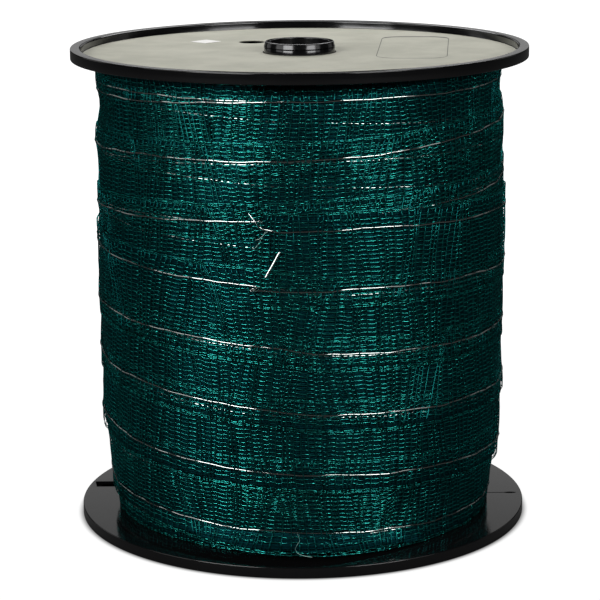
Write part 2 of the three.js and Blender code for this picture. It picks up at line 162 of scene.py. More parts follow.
def circle(x, y, radius, steps=48):
    """Points round a circle, counter-clockwise."""
    angle = np.linspace(0, 2 * math.pi, steps, endpoint=False)
    return np.column_stack([x + radius * np.cos(angle), y + radius * np.sin(angle)])


def flange(name, boss_end):
    """The moulding with its rim towards z = 0. Its boss ends at boss_end, below the web's outer face."""
    bore = ARBOR_RADIUS + SEAT
    web = RIM_HEIGHT - WEB_THICKNESS
    inner = FLANGE_RADIUS - RIM_WALL
    boss = [(bore, web)]
    if boss_end < web:
        edge = arc(BOSS_RADIUS - BOSS_INSET, boss_end + BOSS_ROUND, BOSS_ROUND, -90, -10, 4)
        boss = [(bore, boss_end), *edge, (BOSS_RADIUS - BOSS_DRAFT, web)]
    section = [
        *boss,
        *arc(inner - WEB_ROOT_ROUND, web - WEB_ROOT_ROUND, WEB_ROOT_ROUND, 90, 0, 3),
        *arc(inner + RIM_INNER_ROUND, RIM_INNER_ROUND, RIM_INNER_ROUND, 180, 270, 5),
        *arc(FLANGE_RADIUS - RIM_ROUND, RIM_ROUND, RIM_ROUND, -90, 0),
        *arc(FLANGE_RADIUS - RIM_ROUND, RIM_HEIGHT - RIM_ROUND, RIM_ROUND, 0, 90),
        (SPIGOT_RADIUS, RIM_HEIGHT),
        (SPIGOT_RADIUS, RIM_HEIGHT + SPIGOT_HEIGHT - SPIGOT_WALL / 2),
        (SPIGOT_RADIUS - SPIGOT_WALL / 2, RIM_HEIGHT + SPIGOT_HEIGHT),
        (SPIGOT_RADIUS - SPIGOT_WALL, RIM_HEIGHT + SPIGOT_HEIGHT),
        (SPIGOT_RADIUS - SPIGOT_WALL, RIM_HEIGHT),
        (bore + SLEEVE_WALL, RIM_HEIGHT),
        (bore + SLEEVE_WALL, RIM_HEIGHT + SLEEVE_HEIGHT),
        (bore, RIM_HEIGHT + SLEEVE_HEIGHT),
    ]
    ribs = []
    for angle in np.radians(RIB_ANGLES):
        along = np.array([math.cos(angle), math.sin(angle)])
        across = np.array([-along[1], along[0]]) * RIB_THICKNESS / 2
        near = along * (bore + SLEEVE_WALL / 2)
        far = along * (SPIGOT_RADIUS - SPIGOT_WALL / 2)
        outline = [near - across, far - across, far + across, near + across]
        ribs.append(prism("rib", outline, RIM_HEIGHT - WEB_THICKNESS / 2, RIM_HEIGHT + RIB_HEIGHT))
    return combined(turned(name, section), ribs, "UNION")


SLOT_INNER_END = 62.0
SLOT_NEAR_END = 95.4
SLOT_FAR_END = 96.6
SLOT_NEAR_Y = 12.2
SLOT_FAR_Y = 20.2
SLIT_Y = -1.0
SLIT_HALF = 0.4
SLIT_END = 97.4
EYE_LENGTH = 5.6
EYE_HALF = 1.1

web_cut = (RIM_HEIGHT - WEB_THICKNESS - SEAT, RIM_HEIGHT + SEAT)
slot_outline = [(-SLOT_NEAR_END, SLOT_NEAR_Y), (-SLOT_INNER_END, SLOT_NEAR_Y),
                (-SLOT_INNER_END, SLOT_FAR_Y), (-SLOT_FAR_END, SLOT_FAR_Y)]
eye = np.linspace(0, 1, 13)
eye_x = SLIT_END - EYE_LENGTH * (1 - eye)
eye_y = SLIT_HALF + (EYE_HALF - SLIT_HALF) * np.sin(math.pi * eye)
slit_outline = np.concatenate([
    [(SLOT_INNER_END, SLIT_Y - SLIT_HALF)], np.column_stack([eye_x, SLIT_Y - eye_y]),
    np.column_stack([eye_x, SLIT_Y + eye_y])[::-1], [(SLOT_INNER_END, SLIT_Y + SLIT_HALF)]])
bottom_flange = combined(flange("bottom_flange_moulding", RIM_HEIGHT - WEB_THICKNESS), [
    prism("hole", circle(*DRIVE_HOLE), *web_cut),
    prism("slot", slot_outline, *web_cut),
    prism("slit", slit_outline, *web_cut),
], "DIFFERENCE")
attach(bottom_flange, "root")
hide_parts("bottom_flange")


class Term:
    """A number that varies over a surface: a socket whose arithmetic adds Math nodes to its material."""

    def __init__(self, finish, socket):
        self.finish = finish
        self.socket = socket

    def maths(self, operation, *values):
        sockets = dict(enumerate(values))
        return self.finish.node("ShaderNodeMath", {"operation": operation}, sockets)

    def __add__(self, other):
        return self.maths("ADD", self, other)

    def __sub__(self, other):
        return self.maths("SUBTRACT", self, other)

    def __rsub__(self, other):
        return self.maths("SUBTRACT", other, self)

    def __mul__(self, other):
        return self.maths("MULTIPLY", self, other)

    def __truediv__(self, other):
        return self.maths("DIVIDE", self, other)

    def __pow__(self, other):
        return self.maths("POWER", self, other)

    def __abs__(self):
        return self.maths("ABSOLUTE", self)

    def least(self, other):
        return self.maths("MINIMUM", self, other)

    def most(self, other):
        return self.maths("MAXIMUM", self, other)

    def sine(self):
        return self.maths("SINE", self)

    def root(self):
        return self.maths("SQRT", self)

    def ramp(self, start, end, low=0.0, high=1.0):
        """Rises smoothly from low to high as the number goes from start to end."""
        sockets = {0: self, 1: start, 2: end, 3: low, 4: high}
        return self.finish.node("ShaderNodeMapRange", {"interpolation_type": "SMOOTHSTEP"}, sockets)

    __radd__ = __add__
    __rmul__ = __mul__


class Finish:
    """A material: one Principled shader, and the nodes that its varying sockets need."""

    def __init__(self, name, **uniform):
        self.material = bpy.data.materials.new(name)
        self.material.use_nodes = True
        self.tree = self.material.node_tree
        self.shader = self.tree.nodes["Principled BSDF"]
        for socket, value in uniform.items():
            self.shader.inputs[socket.replace("_", " ")].default_value = value

    def node(self, kind, settings, sockets, output=0):
        """Any other node: its type, its settings, and the values or links of its sockets."""
        made = self.tree.nodes.new(kind)
        for key, value in settings.items():
            setattr(made, key, value)
        for key, value in sockets.items():
            if isinstance(value, Term):
                self.tree.links.new(value.socket, made.inputs[key])
            else:
                made.inputs[key].default_value = value
        return Term(self, made.outputs[output])

    def place(self, axis=None):
        """The point on the piece in metres, or one of its coordinates."""
        point = self.node("ShaderNodeTexCoord", {}, {}, "Object")
        if axis is None:
            return point
        return self.node("ShaderNodeSeparateXYZ", {}, {0: point}, axis)

    def noise(self, size, detail=2.0, roughness=0.5, stretch=(1, 1, 1)):
        """Soft noise from 0 to 1 with features of about that size in metres, longer where stretch is more."""
        scaled = self.node("ShaderNodeVectorMath", {"operation": "MULTIPLY"},
                           {0: self.place(), 1: [1 / s for s in stretch]})
        sockets = {"Vector": scaled, "Scale": 1 / size, "Detail": detail, "Roughness": roughness}
        return self.node("ShaderNodeTexNoise", {}, sockets, "Fac")

    def blend(self, share, first, second):
        """One colour going over into another."""
        sockets = {"Factor": share, 6: (*first, 1) if isinstance(first, tuple) else first,
                   7: (*second, 1) if isinstance(second, tuple) else second}
        return self.node("ShaderNodeMix", {"data_type": "RGBA", "clamp_factor": True}, sockets, 2)

    def set(self, socket, value):
        self.tree.links.new(value.socket, self.shader.inputs[socket])

    def bump(self, height, depth, strength=1.0):
        sockets = {"Height": height, "Distance": depth, "Strength": strength}
        self.set("Normal", self.node("ShaderNodeBump", {}, sockets))

    def on(self, made):
        made.data.materials.clear()
        made.data.materials.append(self.material)


moulded = Finish("glossy_black_moulding", IOR=1.47)
flow = moulded.noise(0.03, 3, stretch=(1, 1, 0.4))
dust = moulded.noise(0.0012, 2)
moulded.set("Base Color", moulded.blend(flow, (0.0018, 0.0018, 0.0020), (0.0034, 0.0034, 0.0037)))
moulded.set("Roughness", moulded.noise(0.012, 4).ramp(0.2, 0.8, 0.08, 0.14) + dust * 0.03)
moulded.bump(moulded.noise(0.02, 2), 0.0002, 0.12)
moulded.on(bottom_flange)

# ---- Barrel --------------------------------------------------------------------------------------
# Plain extruded tube in matt black plastic, pushed over the spigots of both flanges. Only the drive holes
# show a little of its inside, so the frame's own tube stays and gets its finish here.

plain_tube = Finish("matt_black_tube", IOR=1.45)
drawn = plain_tube.noise(0.004, 3, stretch=(1, 1, 20))
plain_tube.set("Base Color", plain_tube.blend(drawn, (0.006, 0.006, 0.007), (0.016, 0.016, 0.017)))
plain_tube.set("Roughness", drawn.ramp(0.2, 0.8, 0.42, 0.6))
plain_tube.on(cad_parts["barrel"])

# ---- Arbor tube and lock ring --------------------------------------------------------------------
# Moulded black tube through the whole reel, with a polished lip over the top boss. A flat ring pressed on
# its lower end keeps it in.

LIP_HEIGHT = 2.2
LIP_ROUND = 0.7
LIP_INNER_ROUND = 0.35
LIP_DRAFT = 0.40
BOSS_BELOW_RIM = 1.0
BOSS_TOP = HEIGHT_OVER_RIMS - BOSS_BELOW_RIM
LOCK_RING_WIDTH = 4.5
LOCK_RING_THICKNESS = 1.6
EDGE = 0.4
HUB_STEPS = 128

arbor_top = BOSS_TOP + SEAT + LIP_HEIGHT
arbor_bottom = RIM_HEIGHT - WEB_THICKNESS - SEAT - LOCK_RING_THICKNESS
arbor = turned("arbor_with_lip", [
    (BORE_RADIUS, arbor_bottom + EDGE),
    (BORE_RADIUS + EDGE, arbor_bottom),
    (ARBOR_RADIUS - EDGE, arbor_bottom),
    (ARBOR_RADIUS, arbor_bottom + EDGE),
    (ARBOR_RADIUS, BOSS_TOP + SEAT),
    (BOSS_RADIUS, BOSS_TOP + SEAT),
    *arc(BOSS_RADIUS - LIP_DRAFT - LIP_ROUND, arbor_top - LIP_ROUND, LIP_ROUND, 0, 90),
    *arc(BORE_RADIUS + LIP_INNER_ROUND, arbor_top - LIP_INNER_ROUND, LIP_INNER_ROUND, 90, 180),
], HUB_STEPS)
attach(arbor, "root")
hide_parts("arbor_tube")
ring_bore = ARBOR_RADIUS + SEAT
ring_top = arbor_bottom + LOCK_RING_THICKNESS
lock_ring = turned("pressed_lock_ring", [
    (ring_bore, arbor_bottom),
    (ring_bore + LOCK_RING_WIDTH - EDGE, arbor_bottom),
    (ring_bore + LOCK_RING_WIDTH, arbor_bottom + EDGE),
    (ring_bore + LOCK_RING_WIDTH, ring_top),
    (ring_bore, ring_top),
], HUB_STEPS)
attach(lock_ring, "root")
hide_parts("arbor_lock_ring")

polished = Finish("polished_black_arbor", IOR=1.46)
turning = polished.noise(0.0009, 2, stretch=(1, 1, 6))
polished.set("Base Color", polished.blend(turning, (0.0025, 0.0025, 0.0027), (0.0042, 0.0042, 0.0045)))
polished.set("Roughness", turning.ramp(0.2, 0.8, 0.11, 0.18))
polished.bump(turning, 0.00005, 0.08)
polished.on(arbor)
polished.on(lock_ring)

# ---- Top flange ----------------------------------------------------------------------------------
# The same moulding turned over, with a low boss round the arbor and one drive hole. Its web lies flush with
# the side of the winding, so the rim stands up round the label.

top_flange = combined(flange("top_flange_moulding", BOSS_BELOW_RIM), [
    prism("hole", circle(DRIVE_HOLE[0], -DRIVE_HOLE[1], DRIVE_HOLE[2]), *web_cut)], "DIFFERENCE")
turned_over = Matrix.Translation((0, 0, HEIGHT_OVER_RIMS * MM)) @ Matrix.Rotation(math.pi, 4, "X")
top_flange.data.transform(turned_over)
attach(top_flange, "root")
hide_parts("top_flange")
moulded.on(top_flange)

# ---- Label and sticker ---------------------------------------------------------------------------
# Uncoated warm grey paper disc laid into the top flange, punched for the boss and the drive hole, with one
# thin printed frame that has nothing in it. A small white square of paper is stuck on near the edge.

LABEL_RADIUS = 95.0
LABEL_THICKNESS = 0.2
LABEL_HOLE_MARGIN = 0.5
PAPER_GAP = 0.1
LABEL_BOTTOM = HEIGHT_OVER_RIMS - RIM_HEIGHT + WEB_THICKNESS + PAPER_GAP
FRAME_CENTRE = (50.6, 13.8)
FRAME_HALF = (15.2, 40.5)
FRAME_CORNER = 9.0
FRAME_TURN = math.radians(4.3)
LINE_HALF = 0.17
FAR_LINE_HALF = 1.4
NEAR_LINE_MORE = 0.35
STICKER = (-42.6, 40.0, 9.6)
STICKER_THICKNESS = 0.15

label = combined(prism("paper_label", circle(0, 0, LABEL_RADIUS, 192), LABEL_BOTTOM,
                       LABEL_BOTTOM + LABEL_THICKNESS), [
    prism("punch", circle(0, 0, BOSS_RADIUS + LABEL_HOLE_MARGIN, 96), LABEL_BOTTOM - 1, LABEL_BOTTOM + 1),
    prism("punch", circle(DRIVE_HOLE[0], DRIVE_HOLE[1], DRIVE_HOLE[2] + LABEL_HOLE_MARGIN),
          LABEL_BOTTOM - 1, LABEL_BOTTOM + 1)], "DIFFERENCE")
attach(label, "root")
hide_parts("top_label")

paper = Finish("grey_label_paper", Roughness=0.85)
x, y = paper.place("X") / MM - FRAME_CENTRE[0], paper.place("Y") / MM - FRAME_CENTRE[1]
along_x = x * math.cos(FRAME_TURN) - y * math.sin(FRAME_TURN)
along_y = x * math.sin(FRAME_TURN) + y * math.cos(FRAME_TURN)
past_x = abs(along_x) - (FRAME_HALF[0] - FRAME_CORNER)
past_y = abs(along_y) - (FRAME_HALF[1] - FRAME_CORNER)
# Distance outside the frame's rounded outline. Its line is much heavier along its far end, and a little
# heavier along its near one.
outside = (past_x.most(0) ** 2 + past_y.most(0) ** 2).root() + past_x.most(past_y).least(0) - FRAME_CORNER
line_half = along_y.ramp(32, 40, LINE_HALF, FAR_LINE_HALF) + (-1 * along_y).ramp(34, 40, 0, NEAR_LINE_MORE)
frame_line = 1 - (abs(outside) - line_half).ramp(-0.12, 0.12)
smudge = paper.noise(0.022, 5, 0.6)
fibre = paper.noise(0.0011, 3)
plain = paper.blend(smudge.ramp(0.3, 0.7), (0.405, 0.403, 0.334), (0.50, 0.495, 0.415))
worn = paper.blend(fibre * 0.25, plain, (0.343, 0.333, 0.278))
paper.set("Base Color", paper.blend(frame_line * (0.75 + smudge * 0.25), worn, (0.05, 0.05, 0.05)))
paper.bump(fibre, 0.00006, 0.4)
paper.on(label)

half = STICKER[2] / math.sqrt(2)
sticker_low = LABEL_BOTTOM + LABEL_THICKNESS + PAPER_GAP
sticker = prism("white_sticker", [(STICKER[0] + half, STICKER[1]), (STICKER[0], STICKER[1] + half),
                                  (STICKER[0] - half, STICKER[1]), (STICKER[0], STICKER[1] - half)],
                sticker_low, sticker_low + STICKER_THICKNESS)
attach(sticker, "root")
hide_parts("label_sticker")
white_paper = Finish("white_sticker_paper", Roughness=0.6)
grain = white_paper.noise(0.0015, 3)
white_paper.set("Base Color", white_paper.blend(grain, (0.80, 0.79, 0.76), (0.90, 0.89, 0.87)))
white_paper.bump(grain, 0.00004, 0.3)
white_paper.on(sticker)

# ---- How the tape lies ---------------------------------------------------------------------------
# Two layers of overlapping turns. Angles wound are in degrees and run clockwise seen from above. The outer
# layer climbs from the bottom flange to its cut end in front; the layer under it comes down from the top.

TAPE_WIDTH = 40.0
WIRE_MARGIN = 7.5
HALF_THICKNESS = 0.32
WRAP = 0.55
WINDING_BOTTOM = 5.1
WINDING_TOP = 205.4
END_WOUND = 1540.5
FRONT_SAG = 2
SAG_SPREAD = 90
END_DROOP = 1.3
DROOP_SPREAD = 30
LEAN_OUT = 0.95
END_SPREAD = 60
FOOT_DRAW = 5.5
FRONT_WOUND = 90
FOOT_FLARE = 9.5
FLARE_SPREAD = 30
END_DRAW = 2.4
END_DRAW_SPREAD = 180
TUCK = 6
TUCK_WOUND = 95
TUCK_SPREAD = 42
TUCK_MARGIN = 6.5


def smooth(value):
    """Rises from 0 to 1 in an S curve, three squares less two cubes."""
    t = np.clip(value, 0, 1)
    return t * t * (3 - 2 * t)


def through(knots, wound):
    """A smooth curve through (angle wound, height) knots: cubics, each knot's slope from its neighbours."""
    at, value = np.array(knots, float).T
    slope = np.gradient(value, at)
    i = np.clip(np.searchsorted(at, wound) - 1, 0, len(at) - 2)
    step = at[i + 1] - at[i]
    t = np.clip((wound - at[i]) / step, 0, 1)
    first = (1 + 2 * t) * (1 - t) ** 2 * value[i] + t * (1 - t) ** 2 * step * slope[i]
    return first + t * t * (3 - 2 * t) * value[i + 1] + t * t * (t - 1) * step * slope[i + 1]


# Shallow bumps that all turns share: waves round the reel, their slant, their phase and their depth.
BUMPS = ((13, 0.021, 0.3, 0.22), (22, -0.034, 1.9, 0.14), (35, 0.055, 4.1, 0.09), (57, -0.09, 2.6, 0.05),
         (5, 0.012, 5.0, 0.25))
# Hollows at the winding's two sides: each one's angle wound, height, spread round and up, and depth.
WAISTS = ((175, 187, 0.45, 6.5, 2.1), (5, 193.5, 0.45, 7.5, 2.5), (175, 161, 0.4, 4.5, 0.7),
          (172, 139, 0.3, 2.5, 0.7), (175, 88, 0.5, 12, 0.7), (8, 92, 0.5, 14, 0.5))


def bumps(wound, height):
    """How far the tape stands out or in there: a sum of sines of the angle and the height, less a few soft
    hollows, each one bell of the angle times one of the height."""
    angle = np.radians(wound)
    waves = sum(depth * np.sin(count * angle + 2 * math.pi * slant * height + phase)
                for count, slant, phase, depth in BUMPS)
    hollows = sum(depth * np.exp((np.cos(angle - math.radians(middle)) - 1) / spread ** 2
                                 - 0.5 * ((height - level) / reach) ** 2)
                  for middle, level, spread, reach, depth in WAISTS)
    return waves - hollows


class OuterLayer:
    """The climbing layer. Its lie is how far its lower edge is above an even climb, by angle wound."""

    face, pitch, start, end, flat_until = 90.6, 26.5, -304.5, END_WOUND, 40
    lie = [(-304, 0), (0, 0.4), (12, 0.6), (66, -0.6), (85, 0), (110, 0), (173, -0.6), (368, -0.9),
           (429, 0.7), (448, 0.8), (467, 0.8), (530, 2.2), (700, 1.6), (735, 1.2), (761, 1.0), (793, 0.7),
           (813, 1.0), (827, 2.0), (886, 2.5), (1092, 1.2), (1126, 0.2), (1149, 0.3), (1166, 0.3),
           (1178, 2.0), (1190, 2.2), (1247, 0.6), (1400, 0.8), (1454, 0.9), (1486, 1.2), (1503, 1.4),
           (1521, 1.0), (1541, 0.5)]

    def even(self, wound):
        """Height of the lower edge on an even climb, one pitch a turn."""
        return WINDING_BOTTOM + self.pitch * (wound - self.flat_until) / 360

    def lower_edge(self, wound):
        """The even climb and the lie, less a sag in front and behind and a droop at the cut end."""
        sag = -FRONT_SAG * np.sin(np.radians(wound)) ** 2 * smooth((wound - self.flat_until) / SAG_SPREAD)
        droop = END_DROOP * smooth(1 - (END_WOUND - wound) / DROOP_SPREAD)
        return np.maximum(WINDING_BOTTOM, self.even(wound) + sag - droop + through(self.lie, wound))

    def foot_in(self, wound):
        """How far the lower edge is drawn in, less and less as the first turns climb."""
        climbed = np.maximum(0, self.even(wound) - WINDING_BOTTOM)
        return FOOT_DRAW * np.maximum(0, 1 - climbed / TAPE_WIDTH)

    def foot_shift(self, wound):
        """How far the drawn-in turns that lie over this one press it in as a whole."""
        shift = np.zeros_like(wound)
        for turn in (3, 2, 1):
            later = wound + 360 * turn
            climb = self.lower_edge(later) - self.lower_edge(later - 360)
            shift = shift + self.foot_in(later) * climb / TAPE_WIDTH
        return shift

    def face_at(self, wound, across):
        """Radius of the outer face, which leans inward up the tape, so that the next turn lies over it."""
        left = END_WOUND - wound
        covered = self.lower_edge(wound) + across - self.even(wound)
        lean = LEAN_OUT * smooth(1 - (left - 360) / END_SPREAD) * across / TAPE_WIDTH
        over_lean = LEAN_OUT * self.pitch / TAPE_WIDTH * smooth(1 - left / END_SPREAD)
        in_front = np.exp(-((wound - FRONT_WOUND) / FLARE_SPREAD) ** 2)
        flare = FOOT_FLARE * in_front * np.maximum(0, 1 - across / WIRE_MARGIN) ** 1.5
        foot = self.foot_in(wound) * (1 - across / TAPE_WIDTH) + self.foot_shift(wound)
        return self.face - WRAP / self.pitch * covered + lean + over_lean + flare - foot


class UnderLayer:
    """The layer under it, which comes down. Its lie is how far it is above an even descent."""

    face, pitch, start, end, flat_until = 90.05, 24.6, -259.5, 1060.5, 93
    lie = [(-260, 0), (0, 0.3), (93, 0), (168, 0.9), (270, 1.8), (381, 2.8), (450, 2.2), (483, 3.1),
           (527, 2.4), (640, 1.6), (739, 1.1), (770, 1.9), (825, 2.5), (881, 0.9), (1061, 0.5)]

    def even(self, wound):
        """Height of the upper edge on an even descent, one pitch a turn."""
        return WINDING_TOP - self.pitch * (wound - self.flat_until) / 360

    def lower_edge(self, wound):
        """One tape's width below the upper edge: the even descent and the lie, less the same sag."""
        sag = -FRONT_SAG * np.sin(np.radians(wound)) ** 2 * smooth((wound - self.flat_until) / SAG_SPREAD)
        return np.minimum(WINDING_TOP, self.even(wound) + sag + through(self.lie, wound)) - TAPE_WIDTH

    def drawn(self, wound):
        """How far the lower edge near the hidden end is drawn in, and the turns under it by their share."""
        total = 0
        for turn, share in ((0, 1), (1, 0.385), (2, 0.148)):
            left = self.end - wound - 360 * turn
            near_end = np.where(left < 0, smooth(1 + left / END_SPREAD), smooth(1 - left / END_DRAW_SPREAD))
            total = total + share * END_DRAW * near_end
        return total

    def face_at(self, wound, across):
        """Radius of the outer face, which leans inward down the tape, so that the next turn lies over it.
        In front its upper margin is tucked in."""
        covered = self.even(wound) - self.lower_edge(wound) - across
        in_front = np.exp(-((wound - TUCK_WOUND) / TUCK_SPREAD) ** 2)
        tuck = TUCK * in_front * (np.maximum(0, across - (TAPE_WIDTH - TUCK_MARGIN)) / TUCK_MARGIN) ** 1.3
        return self.face - WRAP / self.pitch * covered - self.drawn(wound) * (1 - across / TAPE_WIDTH) - tuck


def on_reel(layer, wound, across, outward):
    """Points in metres by the angle wound, the distance up the tape and that out from its mid-thickness."""
    height = layer.lower_edge(wound) + across
    radius = layer.face_at(wound, across) - HALF_THICKNESS + outward + bumps(wound, height)
    angle = -np.radians(wound)
    return np.stack([radius * np.cos(angle), radius * np.sin(angle), height], axis=-1) * MM


outer, under = OuterLayer(), UnderLayer()

# ---- Drum of inner turns -------------------------------------------------------------------------
# Everything wound below the two outer layers: hundreds of turns of the same netting, of which only a dark
# green glimmer shows through the meshes. It is a solid drum whose near-black colour is painted shade, with a
# painted strand pattern that is dimmer for each deeper copy.

DRUM_INNER = 57.2
DRUM_LEVELS = 201
DRUM_STEPS = 2 * LATHE_STEPS
WITHIN_INNERMOST = 0.7
WITHIN_OUTERMOST = 1.0
PAST_EDGES = 0.5
INSIDE_EDGES = 0.3
# The drum's pattern: wefts and warps by the radians of their sine for each radian round and millimetre up.
SHADED_WEFTS = 208
SHADED_WARPS = 3.49


def drum_profile(steps):
    """For each step of a turn, the (radius, z) points of a drum that lies just within the innermost tape
    there, or at most 1 mm within the outermost, and no further out than its two neighbours."""
    levels = np.linspace(WINDING_BOTTOM, WINDING_TOP, DRUM_LEVELS)
    innermost = np.full((steps, len(levels)), 99.0)
    outermost = np.full((steps, len(levels)), 80.0)
    for layer in (outer, under):
        for turn in range(-1, 6):
            wound = 360 * turn - np.degrees(np.linspace(0, 2 * math.pi, steps, endpoint=False))[:, None]
            wound = np.broadcast_to(wound, innermost.shape)
            across = levels - layer.lower_edge(wound)
            in_layer = (wound >= layer.start) & (wound <= layer.end)
            on_tape = in_layer & (across > -PAST_EDGES) & (across < TAPE_WIDTH + PAST_EDGES)
            face = layer.face_at(wound, across.clip(0, TAPE_WIDTH)) + bumps(wound, levels)
            innermost = np.where(on_tape, np.minimum(innermost, face), innermost)
            inside_edges = on_tape & (across > INSIDE_EDGES) & (across < TAPE_WIDTH - INSIDE_EDGES)
            outermost = np.where(inside_edges, np.maximum(outermost, face), outermost)
    radius = np.maximum(innermost - WITHIN_INNERMOST, outermost - WITHIN_OUTERMOST)
    radius = np.minimum(radius, np.minimum(np.roll(radius, 1, 0), np.roll(radius, -1, 0)))
    outside = np.stack([radius, np.broadcast_to(levels, radius.shape)], axis=-1)
    ends = np.array([[DRUM_INNER, WINDING_BOTTOM], [DRUM_INNER, WINDING_TOP]])
    ends = np.broadcast_to(ends[:, None], (2, steps, 2))
    return np.concatenate([ends[0][:, None], outside, ends[1][:, None]], axis=1)


drum = turned("drum_of_inner_turns", drum_profile(DRUM_STEPS), DRUM_STEPS)
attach(drum, "root")
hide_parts("inner_winding")

shaded_drum = Finish("netting_in_shade", Metallic=0.9, Specular_IOR_Level=0.1, Specular_Tint=(0.3, 0.9, 0.9, 1))
angle = shaded_drum.node("ShaderNodeMath", {"operation": "ARCTAN2"}, {0: shaded_drum.place("Y"), 1: shaded_drum.place("X")})
height = shaded_drum.place("Z") / MM
wander = shaded_drum.noise(0.02, 3) * 4
strand = None
# Three copies of the strands, each deeper one painted dimmer: painted shade on the deeper strands.
for shift, light in ((0.0, 1.0), (1.7, 0.75), (3.9, 0.5)):
    wefts = (angle * SHADED_WEFTS + wander + shift).sine().ramp(0.80, 0.98)
    warps = (height * SHADED_WARPS + wander * 0.7 + 2 * shift).sine().ramp(0.55, 0.95)
    layer = (wefts * 0.6).most(warps) * light
    strand = layer if strand is None else strand.most(layer)
# The near-black base and the strands' dark green are painted shade of the inner turns, not their own colour.
shaded_drum.set("Base Color", shaded_drum.blend(strand, (0.0001, 0.0018, 0.0032), (0.0018, 0.041, 0.049)))
shaded_drum.set("Roughness", strand.ramp(0, 1, 0.55, 0.42))
shaded_drum.bump(strand, 0.0003, 0.8)
shaded_drum.on(drum)

# ---- Netting tape --------------------------------------------------------------------------------
# Open weave of stiff green monofilament. The warps run round the reel 1.8 mm apart. The wefts stand nearly
# straight up the tape, 2.65 mm apart, and press every warp a little inward where they cross it.

WEFT_STEP = 1.68
WARPS = 23
EDGE_WARPS_CLOSER = 0.9
WARP_RADIUS = 0.23
WEFT_RADIUS = 0.12
WEFT_WIDENING = 2.3
WARP_DIP = 0.10
WARP_OUT = 0.02
WARP_UNEVEN = 0.02
WARP_STATIONS = np.array([0, 0.22, 0.78])
WARP_WANDER = 0.12
SHARED_WANDER = 0.25
ZIGZAG = 0.26
WEFT_OUT = 0.16
WEFT_UNEVEN = 0.16
WEFT_LEAN = 4.6
WEFT_BOW = 2.2
MM_PER_DEGREE = 1.58
NEAR_WIRE = 1.3
WEFT_OVER_WIRE = 0.52
WEFT_UNDER_WIRE = -0.32
rng = np.random.default_rng(7)


def drift(wound, longest, count, size):
    """Slow random waves along each of several threads: a sum of sines with seeded lengths and phases."""
    total = np.zeros((count, len(wound)))
    for octave in range(4):
        length = longest / 1.9 ** octave * rng.uniform(0.8, 1.25, (count, 1))
        phase = rng.uniform(0, 2 * math.pi, (count, 1))
        total += np.sin(2 * math.pi * wound[None, :] / length + phase) / 1.5 ** octave
    return size * total / 1.6


def threads(name, lines, radius, sides, across_way, widening=1.0):
    """Tubes round several lines of equally many points: a ring at each point, in the plane of the outward
    direction and across_way, and wider that way. Where across_way is None, it is the level direction."""
    count, length = lines.shape[:2]
    out = lines * [1, 1, 0]
    out = out / np.linalg.norm(out, axis=-1, keepdims=True)
    if across_way is None:
        side = np.stack([out[..., 1], -out[..., 0], np.zeros_like(out[..., 0])], axis=-1)
    else:
        side = np.broadcast_to(np.array(across_way, float), out.shape)
    turn = 2 * math.pi * (np.arange(sides) + 0.5) / sides
    ring = np.cos(turn)[:, None] * out[:, :, None, :] - widening * np.sin(turn)[:, None] * side[:, :, None, :]
    points = lines[:, :, None, :] + ring * np.asarray(radius)[..., None, None] * MM
    here = np.arange(count * length * sides).reshape(count, length, sides)
    on = np.roll(here, -1, axis=2)
    quads = np.stack([here[:, :-1], here[:, 1:], on[:, 1:], on[:, :-1]], axis=-1).reshape(-1, 4)
    caps = np.concatenate([here[:, 0], here[:, -1, ::-1]])
    return thread_mesh(name, points.reshape(-1, 3), quads, caps)


def thread_mesh(name, points, quads, caps):
    """A smooth mesh straight from arrays of points, quads and end caps."""
    corners = np.concatenate([quads.ravel(), caps.ravel()]).astype(np.int32)
    sizes = np.concatenate([np.full(len(quads), quads.shape[1]), np.full(len(caps), caps.shape[1])])
    starts = np.concatenate([[0], np.cumsum(sizes)[:-1]]).astype(np.int32)
    mesh = bpy.data.meshes.new(name)
    mesh.vertices.add(len(points))
    mesh.vertices.foreach_set("co", points.astype(np.float32).ravel())
    mesh.loops.add(len(corners))
    mesh.loops.foreach_set("vertex_index", corners)
    mesh.polygons.add(len(sizes))
    mesh.polygons.foreach_set("loop_start", starts)
    mesh.update(calc_edges=True)
    mesh.shade_smooth()
    made = bpy.data.objects.new(name, mesh)
    bpy.context.scene.collection.objects.link(made)
    return made


def weft_shift(lean, bow, across):
    """How far along the tape, in degrees wound, a weft stands: a slant and a parabola of the height."""
    middle = across / TAPE_WIDTH - 0.5
    return (2 * middle * lean + (1 - 4 * middle ** 2) * bow) / MM_PER_DEGREE


